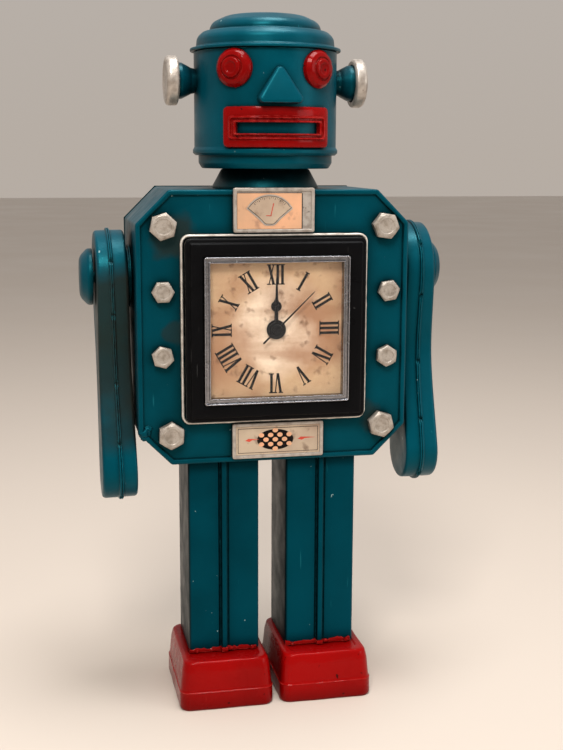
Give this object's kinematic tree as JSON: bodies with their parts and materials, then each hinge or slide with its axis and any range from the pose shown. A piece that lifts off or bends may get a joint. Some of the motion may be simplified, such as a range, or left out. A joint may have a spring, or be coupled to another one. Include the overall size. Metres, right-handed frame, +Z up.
{
  "type": "tin wind-up robot",
  "caption": "Standing toy robot of painted sheet metal with a spring-driven clock in its chest, a turning head, swinging arms, box feet and a winding key at the back.",
  "frame": {"origin": "middle of the bounding box's bottom face, on the floor between the feet", "axes": "+Z up; the robot faces -Y; +X is to the viewer's right as the viewer faces the robot"},
  "size_m": [0.2058, 0.102, 0.38],
  "materials": {
    "teal_paint": "satin enamel, slightly worn",
    "dark_paint": "satin enamel",
    "red_enamel": "gloss enamel",
    "nickel": "dull brushed",
    "silver_paint": "satin, worn",
    "chrome": "polished",
    "black_plastic": "gloss",
    "dial_paper": "matt printed, aged",
    "clear_glass": "clear",
    "brass": "satin",
    "steel": "satin",
    "blued_steel": "blued"
  },
  "bodies": {
    "torso": {"torso_shell": "teal_paint", "front_panel": "teal_paint", "back_cover": "dark_paint", "bolt_left_1": "nickel", "bolt_left_2": "nickel", "bolt_left_3": "nickel", "bolt_left_4": "nickel", "bolt_right_1": "nickel", "bolt_right_2": "nickel", "bolt_right_3": "nickel", "bolt_right_4": "nickel", "clock_border": "silver_paint", "clock_case": "black_plastic", "clock_bezel": "chrome", "dial": "dial_paper", "clock_glass": "clear_glass", "top_label": "silver_paint", "bottom_label": "silver_paint", "neck": "dark_paint", "leg_left": "teal_paint", "leg_right": "teal_paint", "foot_left": "red_enamel", "foot_right": "red_enamel", "sole_left": "red_enamel", "sole_right": "red_enamel", "shoulder_pin_left": "teal_paint", "shoulder_pin_right": "teal_paint", "movement_front_plate": "brass", "movement_back_plate": "brass", "mainspring": "blued_steel", "hairspring": "blued_steel"},
    "head": {"head_shell": "teal_paint", "head_lid": "teal_paint", "head_base": "teal_paint", "nose": "teal_paint", "mouth": "red_enamel", "eye_left": "red_enamel", "eye_right": "red_enamel", "ear_cup_left": "teal_paint", "ear_cup_right": "teal_paint", "ear_disc_left": "silver_paint", "ear_disc_right": "silver_paint"},
    "left_arm": {"arm_outer_left": "teal_paint", "arm_inner_left": "teal_paint"},
    "right_arm": {"arm_outer_right": "teal_paint", "arm_inner_right": "teal_paint"},
    "seconds_arbor": {"seconds_wheel": "brass", "second_hand": "black_plastic"},
    "minute_arbor": {"centre_wheel": "brass", "minute_hand": "black_plastic"},
    "hour_pipe": {"hour_wheel": "brass", "hour_hand": "black_plastic"},
    "third_arbor": {"third_wheel": "brass"},
    "great_wheel": {"great_wheel": "brass"},
    "escape_arbor": {"escape_wheel": "brass"},
    "lever": {"pallet_lever": "steel"},
    "balance": {"balance_wheel": "brass"},
    "setting_arbor": {"setting_arbor": "brass"},
    "winding_arbor": {"winding_arbor": "steel", "winding_key": "nickel"}
  },
  "joints": [
    {"name": "head_turn", "type": "hinge", "parent": "torso", "child": "head", "pos_m": [0.0007, -0.00595, 0.3], "axis": [0, 0, 1], "range_deg": [-90, 90]},
    {"name": "left_arm_swing", "type": "hinge", "parent": "torso", "child": "left_arm", "pos_m": [-0.0866, -0.00125, 0.2392], "axis": [-0.9997, 0, -0.0244], "range_deg": [-60, 180]},
    {"name": "right_arm_swing", "type": "hinge", "parent": "torso", "child": "right_arm", "pos_m": [0.0866, -0.00125, 0.2423], "axis": [-1, 0, 0], "range_deg": [-60, 180]},
    {"name": "seconds_spin", "type": "hinge", "parent": "torso", "child": "seconds_arbor", "pos_m": [0, -0.00395, 0.2129], "axis": [0, 1, 0], "continuous": true},
    {"name": "minute_spin", "type": "hinge", "parent": "torso", "child": "minute_arbor", "pos_m": [0, -0.00395, 0.2129], "axis": [0, 1, 0], "continuous": true},
    {"name": "hour_spin", "type": "hinge", "parent": "torso", "child": "hour_pipe", "pos_m": [0, -0.00395, 0.2129], "axis": [0, 1, 0], "continuous": true},
    {"name": "third_spin", "type": "hinge", "parent": "torso", "child": "third_arbor", "pos_m": [0.01013, -0.00395, 0.23044], "axis": [0, 1, 0], "continuous": true},
    {"name": "great_spin", "type": "hinge", "parent": "torso", "child": "great_wheel", "pos_m": [-0.01856, -0.00395, 0.19434], "axis": [0, 1, 0], "continuous": true},
    {"name": "escape_spin", "type": "hinge", "parent": "torso", "child": "escape_arbor", "pos_m": [0.01659, -0.00395, 0.20128], "axis": [0, 1, 0], "continuous": true},
    {"name": "setting_spin", "type": "hinge", "parent": "torso", "child": "setting_arbor", "pos_m": [-0.01801, -0.00395, 0.2233], "axis": [0, 1, 0], "continuous": true},
    {"name": "lever_rock", "type": "hinge", "parent": "torso", "child": "lever", "pos_m": [0.02269, -0.00395, 0.19401], "axis": [0, 1, 0], "range_deg": [-3, 3]},
    {"name": "balance_swing", "type": "hinge", "parent": "torso", "child": "balance", "pos_m": [0.03041, -0.00395, 0.18482], "axis": [0, 1, 0], "range_deg": [-150, 150], "stiffness_Nm_per_rad": 0.00003},
    {"name": "winding", "type": "hinge", "parent": "torso", "child": "winding_arbor", "pos_m": [-0.01856, -0.00395, 0.19434], "axis": [0, -1, 0], "range_deg": [0, 2340]}
  ],
  "couplings": [
    {"joint": "minute_spin", "follows": "seconds_spin", "ratio": 0.016667},
    {"joint": "hour_spin", "follows": "seconds_spin", "ratio": 0.0013889},
    {"joint": "third_spin", "follows": "seconds_spin", "ratio": -0.13333},
    {"joint": "great_spin", "follows": "seconds_spin", "ratio": -0.0027778},
    {"joint": "escape_spin", "follows": "seconds_spin", "ratio": -8},
    {"joint": "setting_spin", "follows": "seconds_spin", "ratio": -0.0055556}
  ]
}
